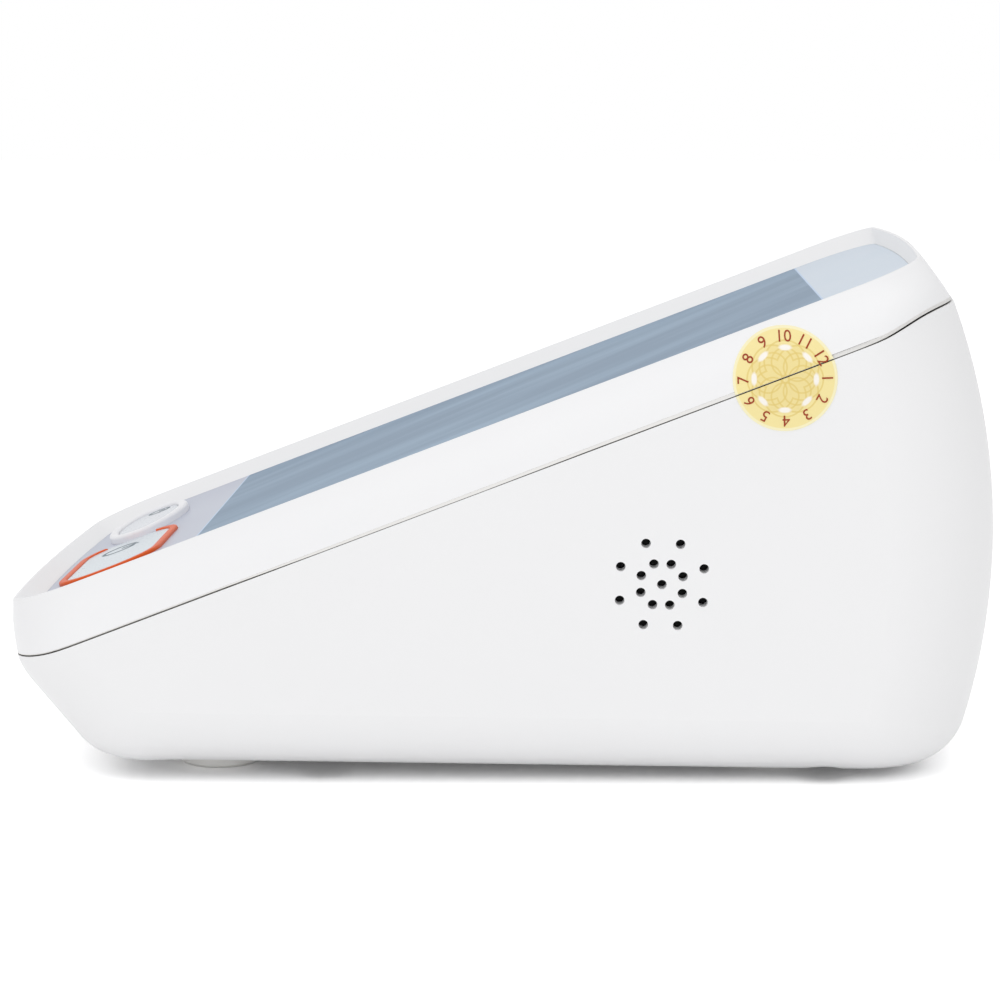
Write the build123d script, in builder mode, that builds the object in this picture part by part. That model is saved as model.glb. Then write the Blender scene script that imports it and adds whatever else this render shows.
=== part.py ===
from build123d import *
from math import cos, radians, sin, tan
import os

# Upper arm blood pressure monitor. +X is its right side, +Y its high back, +Z up.
# The origin is on the table under the middle of the body.

# Overall form
body_length = 160.4
body_width = 118.0
slope_angle = 21.02
crest_height = 57.5
crest_lean = 5.8
crease_depth = 8.7
wall = 2.2
half_length = body_length / 2
half_width = body_width / 2
slope = radians(slope_angle)
slope_rise = tan(slope)
slope_reach = half_length / cos(slope)
front_crease = crest_height - crease_depth / cos(slope) - slope_rise * half_length

# Lower case
side_lean = 3.7
front_bow_radius = 500.0
rear_bow_radius = 700.0
rear_bulge_radius = 108.0
rear_bulge_height = 0.652 * crest_height
underside_height = 2.07
underside_tilt = 0.66
chin_angle = 50.7
chin_top_height = front_crease + 2.34
chin_radius = 0.81 * chin_top_height
front_corner_radius = 0.61 * chin_top_height
rear_corner_radius = 18.0
bottom_radius = 0.51 * chin_top_height
chin_run = (chin_top_height - underside_height) / tan(radians(chin_angle))
chin_end = chin_run + bottom_radius * tan(radians(chin_angle) / 2)

# Crest and sunk panel, measured along the slope from the middle
crest_half_width = half_width - crest_lean
crest_front_corner = 14.0
crest_rear_corner = 11.5
crest_rear = slope_reach - 13.5
cover_crown = 1.1
front_curl = 1.9
crease_rear_step = 2.8
rim_land = 0.5
rim_slant = 5.7
panel_half_width = crest_half_width - rim_land - rim_slant
panel_front = slope_reach - 3.3
panel_rear = crest_rear - 1.8
panel_corner = 14.0
panel_depth = 2.3
window_thickness = 1.8
deck_thickness = 1.6

# Parting line, which follows the crease and levels out at both ends
parting_front_height = front_crease + 1.75
parting_front_radius = 45.0
parting_rear_y = half_length - 20.2
parting_rear_end = half_length - 11.2
parting_rear_rise = 1.6
parting_rear_radius = 20.0
reveal_height = 0.35
reveal_rear_height = 0.9
reveal_depth = 1.3

# Keys on the panel
key_line = -(panel_front - 11.7)
start_center = (0.3 * panel_half_width, key_line)
start_length = 0.775 * panel_half_width
start_height = 18.2
start_corner = 8.2
start_rim = 1.4
start_rim_rise = 0.65
start_key_rise = 0.4
start_gap_x = start_center[0] - 0.43 * start_length
start_gap_top = key_line + 4.3
memory_center = (-0.468 * panel_half_width, key_line)
memory_length = 0.7 * panel_half_width
memory_height = 14.4
memory_rim = 1.8
memory_rim_rise = 1.4
memory_key_rise = 0.9
key_gap = 0.15
bezel_gap = 0.05
between_keys = 0.4
flange_width = 0.8
flange_thickness = 1.0
flange_gap = 0.15
stem_radius = 2.6
key_travel = 0.6
switch_side = 6.0
switch_height = 1.4
switch_gap = 0.1

# Display stack and circuit board under the deck
display_half_width = panel_half_width - 8.0
display_half_length = panel_rear - 20.1
display_frame_wall = 2.0
cell_thickness = 2.2
backlight_thickness = 2.8
board_depth = 11.5
board_thickness = 1.6
board_edge = 0.35
board_half_width = display_half_width + bezel_gap + display_frame_wall + board_edge
board_front = panel_front - 6.6
board_rear = panel_rear - 4.6
board_corner = 5.0
board_screw_x = display_half_width - 2.0
board_screw_front = display_half_length + 5.3
board_screw_rear = display_half_length + 10.5
board_screw_radius = 1.1
board_screw_head_radius = 2.2
board_screw_head = 1.6
board_screw_bite = 4.0
board_boss_radius = 2.4
chip_side = 14.0
chip_thickness = 1.5

# Screw columns
column_x = half_width - 12.5
column_front = -0.349 * half_length
column_rear = half_length - 28.2
column_radius = 4.2
column_bore_radius = 3.4
column_web = 4.0
screw_radius = 1.5
screw_head_radius = 2.8
screw_head = 2.0
screw_bite = 3.6
screw_clearance = 0.08

# Loudspeaker and its grille in the right wall
grille_y = column_rear - 26.1
grille_z = 0.572 * crest_height
grille_hole_radius = 0.75
grille_rings = (3.5, 7.0)
grille_ring_holes = 8
speaker_radius = 14.0
speaker_seat_wall = 1.4
speaker_seat_length = 5.0
gasket_thickness = 1.0
speaker_rim = 1.4
speaker_basket = 3.2
speaker_taper = 50.0
speaker_magnet_radius = 7.5
speaker_magnet = 3.0

# Power inlet in the left wall
inlet_y = half_length - 44.2
inlet_z = 0.504 * crest_height
inlet_side = 10.0
inlet_length = 13.0
inlet_bore_radius = 2.9
inlet_pin_radius = 1.0
inlet_bore_length = 9.5
inlet_collar = 1.2
inlet_proud = 0.5

# Air system
air_y = inlet_y - 24.0
jack_radius = 6.0
jack_bore_radius = 3.2
jack_bore_length = 12.0
jack_flange_radius = 7.6
jack_collar_radius = 9.0
jack_collar = 1.5
jack_proud = 1.2
jack_wall = 1.6
nipple_radius = 1.2
nipple_length = 3.0
hose_radius = 2.1
hose_gap = 0.04
manifold_x = 29.0 - half_width
manifold_side = 10.0
valve_radius = 5.0
valve_length = 20.0
pump_y = half_length - 30.2
pump_z = 20.0
pump_head_x = manifold_x + 5.0
pump_head_length = 18.0
pump_head_side = 26.0
motor_radius = 12.0
motor_length = 34.0
cradle_thickness = 2.0
cradle_inset = 6.0
cradle_gap = 0.1
sleeve_thickness = 1.4
sleeve_length = 13.0
sensor_side = 9.0
sensor_height = 4.0

# Battery compartment, from the underside up
cell_radius = 7.1
cell_length = 49.2
cell_nub_radius = 2.7
cell_nub = 1.2
cell_pitch = 14.9
cell_gap = 0.3
cell_count = 4
contact_room = 2.0
contact_thickness = 0.4
compartment_y = pump_y - 51.0
compartment_wall = 3.2
door_thickness = 2.0
door_ledge = 1.6
door_gap = 0.3
knuckle_radius = 1.5
knuckle_length = 9.0
knuckle_x = 20.0
latch_width = 12.0
latch_reach = 3.2
latch_thickness = 1.4
door_rib = 1.6
door_rib_width = 1.2
door_rib_length = 40.0
roof_gap = 0.5
roof_thickness = 1.6

# Feet
foot_radius = 6.5
foot_seat = 0.8
foot_inset = 15.3
front_foot = (half_width - 22.0, chin_end + foot_inset - half_length)
rear_foot = (half_width - 26.0, half_length - 36.2)

crest_normal = Vector(0, -sin(slope), cos(slope))
crest_plane = Plane(origin=(0, 0, crest_height), x_dir=(1, 0, 0), z_dir=crest_normal)
crest_axis = Axis((0, 0, 0), crest_normal)
underside = Plane(
    origin=(0, 0, underside_height),
    x_dir=(1, 0, 0),
    z_dir=(0, sin(radians(underside_tilt)), cos(radians(underside_tilt))),
)
window_under = panel_depth + window_thickness
ceiling_depth = window_under + deck_thickness
bounds_low = -20.0
bounds_high = body_length


def slope_height(depth, y):
    """Height of the plane that lies this deep under the crest, at this y."""
    return crest_height - depth / cos(slope) + slope_rise * y


def side_plane(side, inset):
    """Outer face of a side wall, which passes through the crease and leans in below it."""
    lean = radians(side_lean)
    normal = (side * cos(lean), sin(slope) * sin(lean), -cos(slope) * sin(lean))
    crease = (side * (half_width - inset), 0, slope_height(crease_depth, 0))
    return Plane(origin=crease, x_dir=(0, cos(slope), sin(slope)), z_dir=normal)


def bowed_plan(plane, half, front, rear, front_corner, rear_corner):
    """Rounded outline on a plane, with its front and rear edges bowed outwards."""
    front_bow = half**2 / (2 * front_bow_radius)
    rear_bow = half**2 / (2 * rear_bow_radius)
    with BuildSketch(plane) as plan:
        with BuildLine():
            front_side = -front + front_bow
            rear_side = rear - rear_bow
            front_edge = ThreePointArc((-half, front_side), (0, -front), (half, front_side))
            rear_edge = ThreePointArc((half, rear_side), (0, rear), (-half, rear_side))
            Line(front_edge @ 1, rear_edge @ 0)
            Line(rear_edge @ 1, front_edge @ 0)
        make_face()
        corners = plan.vertices().sort_by(Axis.Y)
        fillet(corners[:2], radius=front_corner)
        fillet(plan.vertices().sort_by(Axis.Y)[-2:], radius=rear_corner)
    return plan.sketch


def turned_solid(axis_y, outline):
    """Solid turned about an upright axis far behind the face that its outline shapes."""
    with BuildPart() as turned:
        with BuildSketch(Plane.XZ.offset(-axis_y)):
            with BuildLine():
                add(outline)
                Polyline(outline @ 1, (0, (outline @ 1).Y), (0, (outline @ 0).Y), outline @ 0)
            make_face()
        revolve(axis=Axis((0, axis_y, 0), (0, 0, 1)))
    return turned.part


def case_form(inset):
    """Body up to the crease, this far inside the outer surface."""
    front_axis_y = front_bow_radius - half_length
    rear_axis_y = half_length - rear_bow_radius
    turn = radians(90 - chin_angle)
    nose_reach = front_bow_radius - inset
    chin_top = chin_top_height + inset * tan(turn / 2)
    nose = FilletPolyline(
        (nose_reach, bounds_high),
        (nose_reach, chin_top),
        (nose_reach - (chin_top - bounds_low) * tan(turn), bounds_low),
        radius=chin_radius - inset,
    )
    back_reach = rear_bow_radius - inset
    bulge = rear_bulge_radius - inset
    drop = rear_bulge_height - bounds_low
    inward = bulge - (bulge**2 - drop**2) ** 0.5
    back = ThreePointArc(
        (back_reach - inward, rear_bulge_height + drop),
        (back_reach, rear_bulge_height),
        (back_reach - inward, rear_bulge_height - drop),
    )
    front_solid = turned_solid(front_axis_y, nose)
    rear_solid = turned_solid(rear_axis_y, back)
    with BuildPart() as form:
        add(front_solid)
        add(rear_solid, mode=Mode.INTERSECT)
        split(bisect_by=side_plane(1, inset), keep=Keep.BOTTOM)
        split(bisect_by=side_plane(-1, inset), keep=Keep.BOTTOM)
        split(bisect_by=underside.offset(inset), keep=Keep.TOP)
        split(bisect_by=crest_plane.offset(-crease_depth), keep=Keep.BOTTOM)
        for end, radius in ((1, rear_corner_radius), (-1, front_corner_radius)):
            by_side = form.faces().sort_by(Axis.X)
            upright = [
                edge
                for face in (by_side[0], by_side[-1])
                for edge in face.edges()
                if end * edge.center().Y > half_length / 2
            ]
            fillet(upright, radius=radius - inset)
        fillet(form.faces().sort_by(Axis.Z)[0].edges(), radius=bottom_radius - inset)
    return form.part


def cover_form(case, inset, top_depth):
    """Body from the crease up to this depth, leaning in to the crest with a slight crown."""
    sections = [case.faces().sort_by(crest_axis)[-1]]
    top_share = (crease_depth - top_depth) / crease_depth
    for share in (top_share / 2, top_share):
        depth = crease_depth * (1 - share)
        crown = 4 * cover_crown * share * (1 - share)
        half = half_width - (half_width - crest_half_width) * share + crown - inset
        front_y = half_length - front_curl * (1 - share) ** 2 - inset
        front = (front_y + depth * sin(slope)) / cos(slope)
        rear = crest_rear + crease_rear_step * (1 - share) - inset
        plan = bowed_plan(
            crest_plane.offset(-depth),
            half,
            front,
            rear,
            crest_front_corner - inset / 2,
            crest_rear_corner - inset / 2,
        )
        sections.append(plan.face())
    with BuildPart() as form:
        loft(sections)
    return form.part


def start_outline(depth, shrink):
    """Long key's outline on the slope."""
    with BuildSketch(crest_plane.offset(-depth)) as outline:
        with Locations(start_center):
            RectangleRounded(
                start_length - 2 * shrink, start_height - 2 * shrink, start_corner - shrink
            )
    return outline.sketch


def memory_outline(depth, shrink):
    """Oval key's outline on the slope."""
    with BuildSketch(crest_plane.offset(-depth)) as outline:
        with Locations(memory_center):
            Ellipse(memory_length / 2 - shrink, memory_height / 2 - shrink)
    return outline.sketch


def wall_plane(side, y, z):
    """Plane on a side wall's outer face at a height and place, facing outwards."""
    face = side_plane(side, 0)
    normal = face.z_dir
    fall = (y - face.origin.Y) * normal.Y + (z - face.origin.Z) * normal.Z
    reach = face.origin.X - fall / normal.X
    return Plane(origin=(reach, y, z), x_dir=face.x_dir, z_dir=normal)


def save(piece, name):
    """Write one finished piece under its own name."""
    piece.part.label = name
    export_step(piece.part, f"parts/{name}.step")


# Shared forms: outer body, room inside and the parting surface
outer_case = case_form(0)
outer_cover = cover_form(outer_case, 0, 0)
inner_case = case_form(wall)
inner_cover = cover_form(inner_case, wall, ceiling_depth)
reveal_case = case_form(reveal_depth)
reveal_cover = cover_form(reveal_case, reveal_depth, 0)

with BuildPart() as body:
    add(outer_case)
    add(outer_cover)

with BuildPart() as room:
    add(inner_case)
    add(inner_cover)

with BuildPart() as reveal_core:
    add(reveal_case)
    add(reveal_cover)


def below_parting(lift, rear_lift):
    """Space under the parting surface, raised at the front and at the rear."""
    corner_y = (parting_front_height - slope_height(crease_depth, 0)) / slope_rise
    rear_height = slope_height(crease_depth, parting_rear_end) + parting_rear_rise
    knee_height = slope_height(crease_depth, parting_rear_y)
    with BuildPart() as space:
        with BuildSketch(Plane.YZ.offset(-body_width)) as profile:
            with BuildLine():
                Polyline(
                    (-body_length, bounds_low),
                    (-body_length, parting_front_height + lift),
                    (corner_y, parting_front_height + lift),
                    (parting_rear_y, knee_height + rear_lift),
                    (parting_rear_end, rear_height + rear_lift),
                    (body_length, rear_height + rear_lift),
                    (body_length, bounds_low),
                    close=True,
                )
            make_face()
            fillet(profile.vertices().sort_by(Axis.X)[2], radius=parting_front_radius)
            rear_bends = profile.vertices().sort_by(Axis.X)[-4:-2]
            fillet(rear_bends, radius=parting_rear_radius)
        extrude(amount=2 * body_width)
    return space.part


under_parting = below_parting(0, 0)
under_reveal = below_parting(reveal_height, reveal_rear_height)

# Battery compartment, laid out on the underside
cell_run = cell_length + cell_nub
inside_x = (cell_count - 1) / 2 * cell_pitch + cell_radius + roof_gap
inside_y = cell_run / 2 + contact_room
cell_height = door_thickness + cell_gap + cell_radius
roof_height = cell_height + cell_radius + roof_gap
door_x = inside_x + door_ledge
door_y = inside_y + door_ledge
hinge_y = door_y + door_gap / 2
block_x = inside_x + compartment_wall
block_y = inside_y + compartment_wall
compartment_top = roof_height + roof_thickness


def low_box(half_x, half_y, bottom, top):
    """Box centred on the battery compartment, between two heights over the underside."""
    with BuildPart() as box:
        with BuildSketch(underside.offset(bottom)):
            with Locations((0, compartment_y)):
                Rectangle(2 * half_x, 2 * half_y)
        extrude(amount=top - bottom)
    return box.part


def hinge_roll(radius, extra):
    """Half-round barrels along the door's rear edge, above the underside."""
    with BuildPart() as roll:
        for x in (-knuckle_x, knuckle_x):
            start = underside.from_local_coords((x - knuckle_length / 2 - extra, 0, 0))
            with BuildSketch(Plane(origin=start, x_dir=(0, 1, 0), z_dir=(1, 0, 0))):
                with Locations((compartment_y + hinge_y, 0)):
                    Circle(radius)
            extrude(amount=knuckle_length + 2 * extra)
    return roll.part


# Grille and loudspeaker seat on the right wall
speaker_plane = wall_plane(1, grille_y, grille_z)

# Sockets in the left wall; the air line runs just over the compartment's roof
air_z = underside_height + compartment_top + manifold_side / 2
jack_face = wall_plane(-1, air_y, air_z).origin.X
inlet_face = wall_plane(-1, inlet_y, inlet_z).origin.X

# What stands inside the lower case: compartment, screw columns, pump cradle, speaker seat
column_places = [(x, y) for x in (-column_x, column_x) for y in (column_front, column_rear)]
cradle_places = (
    pump_head_x + pump_head_length / 2 + cradle_inset,
    pump_head_x + pump_head_length / 2 + motor_length - cradle_inset,
)

with BuildPart() as case_inside:
    add(low_box(block_x, block_y, 0, compartment_top))
    for x, y in column_places:
        with BuildSketch(Plane.XY):
            with Locations((x, y)):
                Circle(column_radius)
        extrude(amount=body_length)
    split(bisect_by=crest_plane.offset(-crease_depth), keep=Keep.BOTTOM)
    for x in cradle_places:
        with BuildSketch(Plane.YZ.offset(x - cradle_thickness / 2)):
            with Locations((pump_y, pump_z / 2)):
                Rectangle(2 * motor_radius, pump_z)
            with Locations((pump_y, pump_z)):
                Circle(motor_radius + cradle_gap, mode=Mode.SUBTRACT)
        extrude(amount=cradle_thickness)
    with BuildSketch(speaker_plane.offset(-wall - speaker_seat_length)):
        Circle(speaker_radius + cradle_gap + speaker_seat_wall)
        Circle(speaker_radius + cradle_gap, mode=Mode.SUBTRACT)
    extrude(amount=speaker_seat_length + wall / 2)

    add(body.part, mode=Mode.INTERSECT)

with BuildPart() as lower_case:
    add(body.part)
    add(under_parting, mode=Mode.INTERSECT)
    add(room.part, mode=Mode.SUBTRACT)
    add(case_inside.part)
    # Battery compartment, its door opening, hinge seats and finger notch
    add(low_box(inside_x, inside_y, -body_width, roof_height), mode=Mode.SUBTRACT)
    add(
        low_box(door_x + door_gap, door_y + door_gap, -body_width, door_thickness),
        mode=Mode.SUBTRACT,
    )
    add(hinge_roll(knuckle_radius + door_gap, door_gap), mode=Mode.SUBTRACT)
    with BuildSketch(underside.offset(-wall)):
        with Locations((0, compartment_y - door_y - latch_reach / 2)):
            Rectangle(latch_width + 2 * door_gap, latch_reach + 2 * door_gap)
    extrude(amount=wall + latch_thickness + door_gap, mode=Mode.SUBTRACT)
    # Screw wells from below, with a web that the screws pull on
    for x, y in column_places:
        web_base = slope_height(crease_depth, y) - column_web
        with BuildSketch(Plane.XY.offset(-body_width)):
            with Locations((x, y)):
                Circle(column_bore_radius)
        extrude(amount=body_width + web_base, mode=Mode.SUBTRACT)
        with BuildSketch(Plane.XY.offset(web_base - 1)):
            with Locations((x, y)):
                Circle(screw_radius + screw_clearance)
        extrude(amount=body_width, mode=Mode.SUBTRACT)
    # Seats of the feet
    for x, y in (front_foot, rear_foot):
        seat = underside_height - y * tan(radians(underside_tilt)) + foot_seat
        with BuildSketch(Plane.XY.offset(-wall)):
            with Locations((-x, y), (x, y)):
                Circle(foot_radius + bezel_gap)
        extrude(amount=wall + seat, mode=Mode.SUBTRACT)
    # Holes for the sockets in the left wall
    with BuildSketch(Plane.YZ.offset(-body_width)):
        with Locations((air_y, air_z)):
            Circle(jack_flange_radius + bezel_gap)
        with Locations((inlet_y, inlet_z)):
            Rectangle(inlet_side + 2 * bezel_gap, inlet_side + 2 * bezel_gap)
    extrude(amount=body_width - half_width / 2, mode=Mode.SUBTRACT)
    # Grille holes
    with BuildSketch(speaker_plane.offset(-2 * wall)):
        Circle(grille_hole_radius)
        for ring in grille_rings:
            with PolarLocations(ring, grille_ring_holes):
                Circle(grille_hole_radius)
    extrude(amount=4 * wall, mode=Mode.SUBTRACT)

# Top cover: leaning rim with a crisp crest, sunk deck, key and display openings
rim_top = bowed_plan(
    crest_plane,
    crest_half_width - rim_land,
    slope_reach - rim_land,
    crest_rear - rim_land,
    crest_front_corner - rim_land,
    crest_rear_corner - rim_land,
)
panel_plan = bowed_plan(
    crest_plane.offset(-panel_depth),
    panel_half_width,
    panel_front,
    panel_rear,
    panel_corner,
    panel_corner,
)
boss_places = [
    (x, along)
    for x in (-board_screw_x, board_screw_x)
    for along in (-board_screw_front, board_screw_rear)
]

with BuildPart() as recess:
    loft([panel_plan.face(), rim_top.face()], ruled=True)
    extrude(panel_plan, amount=window_thickness, dir=crest_normal * -1)

with BuildPart() as cover_inside:
    for x, y in column_places:
        with BuildSketch(Plane.XY):
            with Locations((x, y)):
                Circle(column_radius)
        extrude(amount=body_length)
    split(bisect_by=crest_plane.offset(-crease_depth), keep=Keep.TOP)
    split(bisect_by=crest_plane.offset(-window_under), keep=Keep.BOTTOM)

with BuildPart() as board_bosses:
    with BuildSketch(crest_plane.offset(-board_depth)):
        with Locations(*boss_places):
            Circle(board_boss_radius)
    extrude(amount=board_depth - ceiling_depth)

# Reveal line cut round the cover's lower edge
with BuildPart() as reveal:
    add(under_reveal)
    add(under_parting, mode=Mode.SUBTRACT)
    add(reveal_core.part, mode=Mode.SUBTRACT)

with BuildPart() as upper_cover:
    add(body.part)
    add(under_parting, mode=Mode.SUBTRACT)
    add(room.part, mode=Mode.SUBTRACT)
    add(cover_inside.part)
    add(board_bosses.part)
    add(recess.part, mode=Mode.SUBTRACT)
    add(reveal.part, mode=Mode.SUBTRACT)
    # Openings of the deck over the display and the keys
    with BuildSketch(crest_plane.offset(-ceiling_depth - deck_thickness)):
        Rectangle(2 * display_half_width, 2 * display_half_length)
    extrude(amount=3 * deck_thickness, mode=Mode.SUBTRACT)
    for opening in (
        start_outline(ceiling_depth + deck_thickness, start_rim),
        memory_outline(ceiling_depth + deck_thickness, memory_rim),
    ):
        extrude(opening, amount=3 * deck_thickness, dir=crest_normal, mode=Mode.SUBTRACT)
    # Pilot holes of the screws from the case and from the board
    for x, y in column_places:
        base = slope_height(crease_depth, y) - column_web
        with BuildSketch(Plane.XY.offset(base)):
            with Locations((x, y)):
                Circle(screw_radius + screw_clearance)
        extrude(amount=column_web + screw_bite, mode=Mode.SUBTRACT)
    with BuildSketch(crest_plane.offset(-board_depth)):
        with Locations(*boss_places):
            Circle(board_screw_radius + screw_clearance)
    extrude(amount=board_screw_bite, mode=Mode.SUBTRACT)

# Window bedded in the deck, with openings for the two key rims
with BuildPart() as display_window:
    glazing = bowed_plan(
        crest_plane.offset(-window_under),
        panel_half_width - bezel_gap,
        panel_front - bezel_gap,
        panel_rear - bezel_gap,
        panel_corner,
        panel_corner,
    )
    extrude(glazing, amount=window_thickness, dir=crest_normal)
    for opening in (
        start_outline(window_under + window_thickness, -bezel_gap),
        memory_outline(window_under + window_thickness, -bezel_gap),
    ):
        extrude(opening, amount=3 * window_thickness, dir=crest_normal, mode=Mode.SUBTRACT)

# Low rim of the long key, left open at the corner that faces the oval key
start_rim_height = start_rim_rise + window_thickness
with BuildPart() as start_bezel:
    extrude(start_outline(window_under, 0), amount=start_rim_height, dir=crest_normal)
    extrude(
        start_outline(window_under, start_rim),
        amount=start_rim_height,
        dir=crest_normal,
        mode=Mode.SUBTRACT,
    )
    crown = start_bezel.faces().sort_by(crest_axis)[-1]
    fillet(crown.edges(), radius=start_rim / 4)
    with BuildSketch(crest_plane.offset(-panel_depth)):
        with Locations((start_gap_x, start_gap_top)):
            Rectangle(start_length, start_height, align=(Align.MAX, Align.MAX))
    extrude(amount=start_rim_height, mode=Mode.SUBTRACT)

# High rim of the oval key
memory_rim_height = memory_rim_rise + window_thickness
with BuildPart() as memory_bezel:
    extrude(memory_outline(window_under, 0), amount=memory_rim_height, dir=crest_normal)
    extrude(
        memory_outline(window_under, memory_rim),
        amount=memory_rim_height,
        dir=crest_normal,
        mode=Mode.SUBTRACT,
    )
    crown = memory_bezel.faces().sort_by(crest_axis)[-1]
    fillet(crown.edges(), radius=memory_rim / 3)

# Keys: cap, flange that the deck holds back, and a stem over its switch
flange_top = ceiling_depth + flange_gap
flange_bottom = flange_top + flange_thickness
stem_end = board_depth - switch_height - key_travel - switch_gap
start_key_top = panel_depth - start_key_rise
memory_key_top = panel_depth - memory_key_rise

with BuildPart() as start_button:
    flange = start_outline(flange_bottom, key_gap + start_rim - flange_width)
    extrude(flange, amount=flange_thickness, dir=crest_normal)
    cap = start_outline(flange_top, key_gap + start_rim)
    extrude(cap, amount=flange_top - start_key_top, dir=crest_normal)
    with BuildSketch(crest_plane.offset(-stem_end)):
        with Locations(start_center):
            Circle(stem_radius)
    extrude(amount=stem_end - flange_bottom)

with BuildPart() as memory_button:
    flange = memory_outline(flange_bottom, key_gap + memory_rim - flange_width)
    extrude(flange, amount=flange_thickness, dir=crest_normal)
    cap = memory_outline(flange_top, key_gap + memory_rim)
    extrude(cap, amount=flange_top - memory_key_top, dir=crest_normal)
    with BuildSketch(crest_plane.offset(-stem_end)):
        with Locations(memory_center):
            Circle(stem_radius)
    extrude(amount=stem_end - flange_bottom)

# Display stack: frame, liquid crystal cell and light guide
frame_half_width = display_half_width + bezel_gap + display_frame_wall
frame_half_length = display_half_length + bezel_gap + display_frame_wall
frame_top = ceiling_depth + flange_gap
cell_top = frame_top + flange_gap
cell_bottom = cell_top + cell_thickness
backlight_bottom = cell_bottom + backlight_thickness

with BuildPart() as display_frame:
    with BuildSketch(crest_plane.offset(-board_depth)):
        Rectangle(2 * frame_half_width, 2 * frame_half_length)
        Rectangle(
            2 * (display_half_width + bezel_gap),
            2 * (display_half_length + bezel_gap),
            mode=Mode.SUBTRACT,
        )
    extrude(amount=board_depth - frame_top)

with BuildPart() as display_cell:
    with BuildSketch(crest_plane.offset(-cell_bottom)):
        Rectangle(2 * display_half_width, 2 * display_half_length)
    extrude(amount=cell_thickness)

with BuildPart() as backlight:
    with BuildSketch(crest_plane.offset(-backlight_bottom)):
        Rectangle(2 * display_half_width, 2 * display_half_length)
    extrude(amount=backlight_thickness)

# Circuit board, its switches, chips and screws
board_under = board_depth + board_thickness

with BuildPart() as main_board:
    with BuildSketch(crest_plane.offset(-board_under)):
        with Locations((0, (board_rear - board_front) / 2)):
            RectangleRounded(2 * board_half_width, board_front + board_rear, board_corner)
        with Locations(*boss_places):
            Circle(board_screw_radius + screw_clearance, mode=Mode.SUBTRACT)
    extrude(amount=board_thickness)

with BuildPart() as board_screws:
    with BuildSketch(crest_plane.offset(-board_under - board_screw_head)):
        with Locations(*boss_places):
            Circle(board_screw_head_radius)
    extrude(amount=board_screw_head)
    with BuildSketch(crest_plane.offset(-board_under)):
        with Locations(*boss_places):
            Circle(board_screw_radius)
    extrude(amount=board_thickness + board_screw_bite)


def tact_switch(place):
    """Square switch on the board, with a round plunger under its key's stem."""
    with BuildPart() as switch:
        with BuildSketch(crest_plane.offset(-board_depth)):
            with Locations(place):
                RectangleRounded(switch_side, switch_side, switch_side / 8)
        extrude(amount=switch_height / 2)
        with BuildSketch(crest_plane.offset(-board_depth + switch_height / 2)):
            with Locations(place):
                Circle(stem_radius / 2)
        extrude(amount=switch_height / 2)
    return switch


start_switch = tact_switch(start_center)
memory_switch = tact_switch(memory_center)

with BuildPart() as processor_chip:
    with BuildSketch(crest_plane.offset(-board_under - chip_thickness)):
        with Locations((chip_side, -chip_side)):
            RectangleRounded(chip_side, chip_side, chip_side / 20)
    extrude(amount=chip_thickness)

# Case screws, pulled up inside their wells
with BuildPart() as case_screws:
    for x, y in column_places:
        web_base = slope_height(crease_depth, y) - column_web
        with BuildSketch(Plane.XY.offset(web_base - screw_head)):
            with Locations((x, y)):
                Circle(screw_head_radius)
        extrude(amount=screw_head)
        with BuildSketch(Plane.XY.offset(web_base)):
            with Locations((x, y)):
                Circle(screw_radius)
        extrude(amount=column_web + screw_bite - screw_clearance)

# Batteries, turned head to tail, and their contacts
plate_y = inside_y - contact_thickness
cell_places = [
    ((number - (cell_count - 1) / 2) * cell_pitch, 1 if number % 2 == 0 else -1)
    for number in range(cell_count)
]
plate_side = cell_radius
spring_room = 2 * inside_y - contact_thickness - cell_run

with BuildPart() as battery_cells:
    for x, way in cell_places:
        tail_y = compartment_y + way * (plate_y - cell_run)
        tail = underside.from_local_coords((x, tail_y, cell_height))
        along = Plane(origin=tail, x_dir=(1, 0, 0), z_dir=underside.y_dir * way)
        with BuildSketch(along):
            Circle(cell_radius)
        extrude(amount=cell_length)
        with BuildSketch(along.offset(cell_length)):
            Circle(cell_nub_radius)
        extrude(amount=cell_nub)

with BuildPart() as battery_plates:
    for x, way in cell_places:
        face = underside.from_local_coords((x, compartment_y + way * plate_y, cell_height))
        with BuildSketch(Plane(origin=face, x_dir=(1, 0, 0), z_dir=underside.y_dir * way)):
            RectangleRounded(plate_side, plate_side, contact_thickness)
        extrude(amount=contact_thickness)

with BuildPart() as battery_springs:
    for x, way in cell_places:
        base_y = compartment_y - way * (inside_y - contact_thickness / 2)
        side = underside.from_local_coords((x - plate_side / 2, base_y, cell_height))
        reach = spring_room - 1.5 * contact_thickness
        with BuildSketch(Plane(origin=side, x_dir=underside.y_dir * way, z_dir=(way, 0, 0))):
            with BuildLine():
                Polyline(
                    (0, -plate_side / 2),
                    (0, plate_side / 2),
                    (reach, 0),
                    (reach / 3, -plate_side / 3),
                )
            trace(line_width=contact_thickness)
        extrude(amount=way * plate_side)

# Battery door: plate with ribs, barrels on its rear edge and a finger tab in front
with BuildPart() as battery_door:
    add(low_box(door_x, door_y, 0, door_thickness))
    add(hinge_roll(knuckle_radius, 0))
    split(bisect_by=underside, keep=Keep.TOP)
    with BuildSketch(underside):
        with Locations((0, compartment_y - door_y - latch_reach / 2)):
            Rectangle(latch_width, latch_reach)
    extrude(amount=latch_thickness)
    with BuildSketch(underside.offset(door_thickness)):
        for place in range(1, cell_count):
            with Locations(((place - cell_count / 2) * cell_pitch, compartment_y)):
                Rectangle(door_rib_width, door_rib_length)
    extrude(amount=door_rib)


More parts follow.
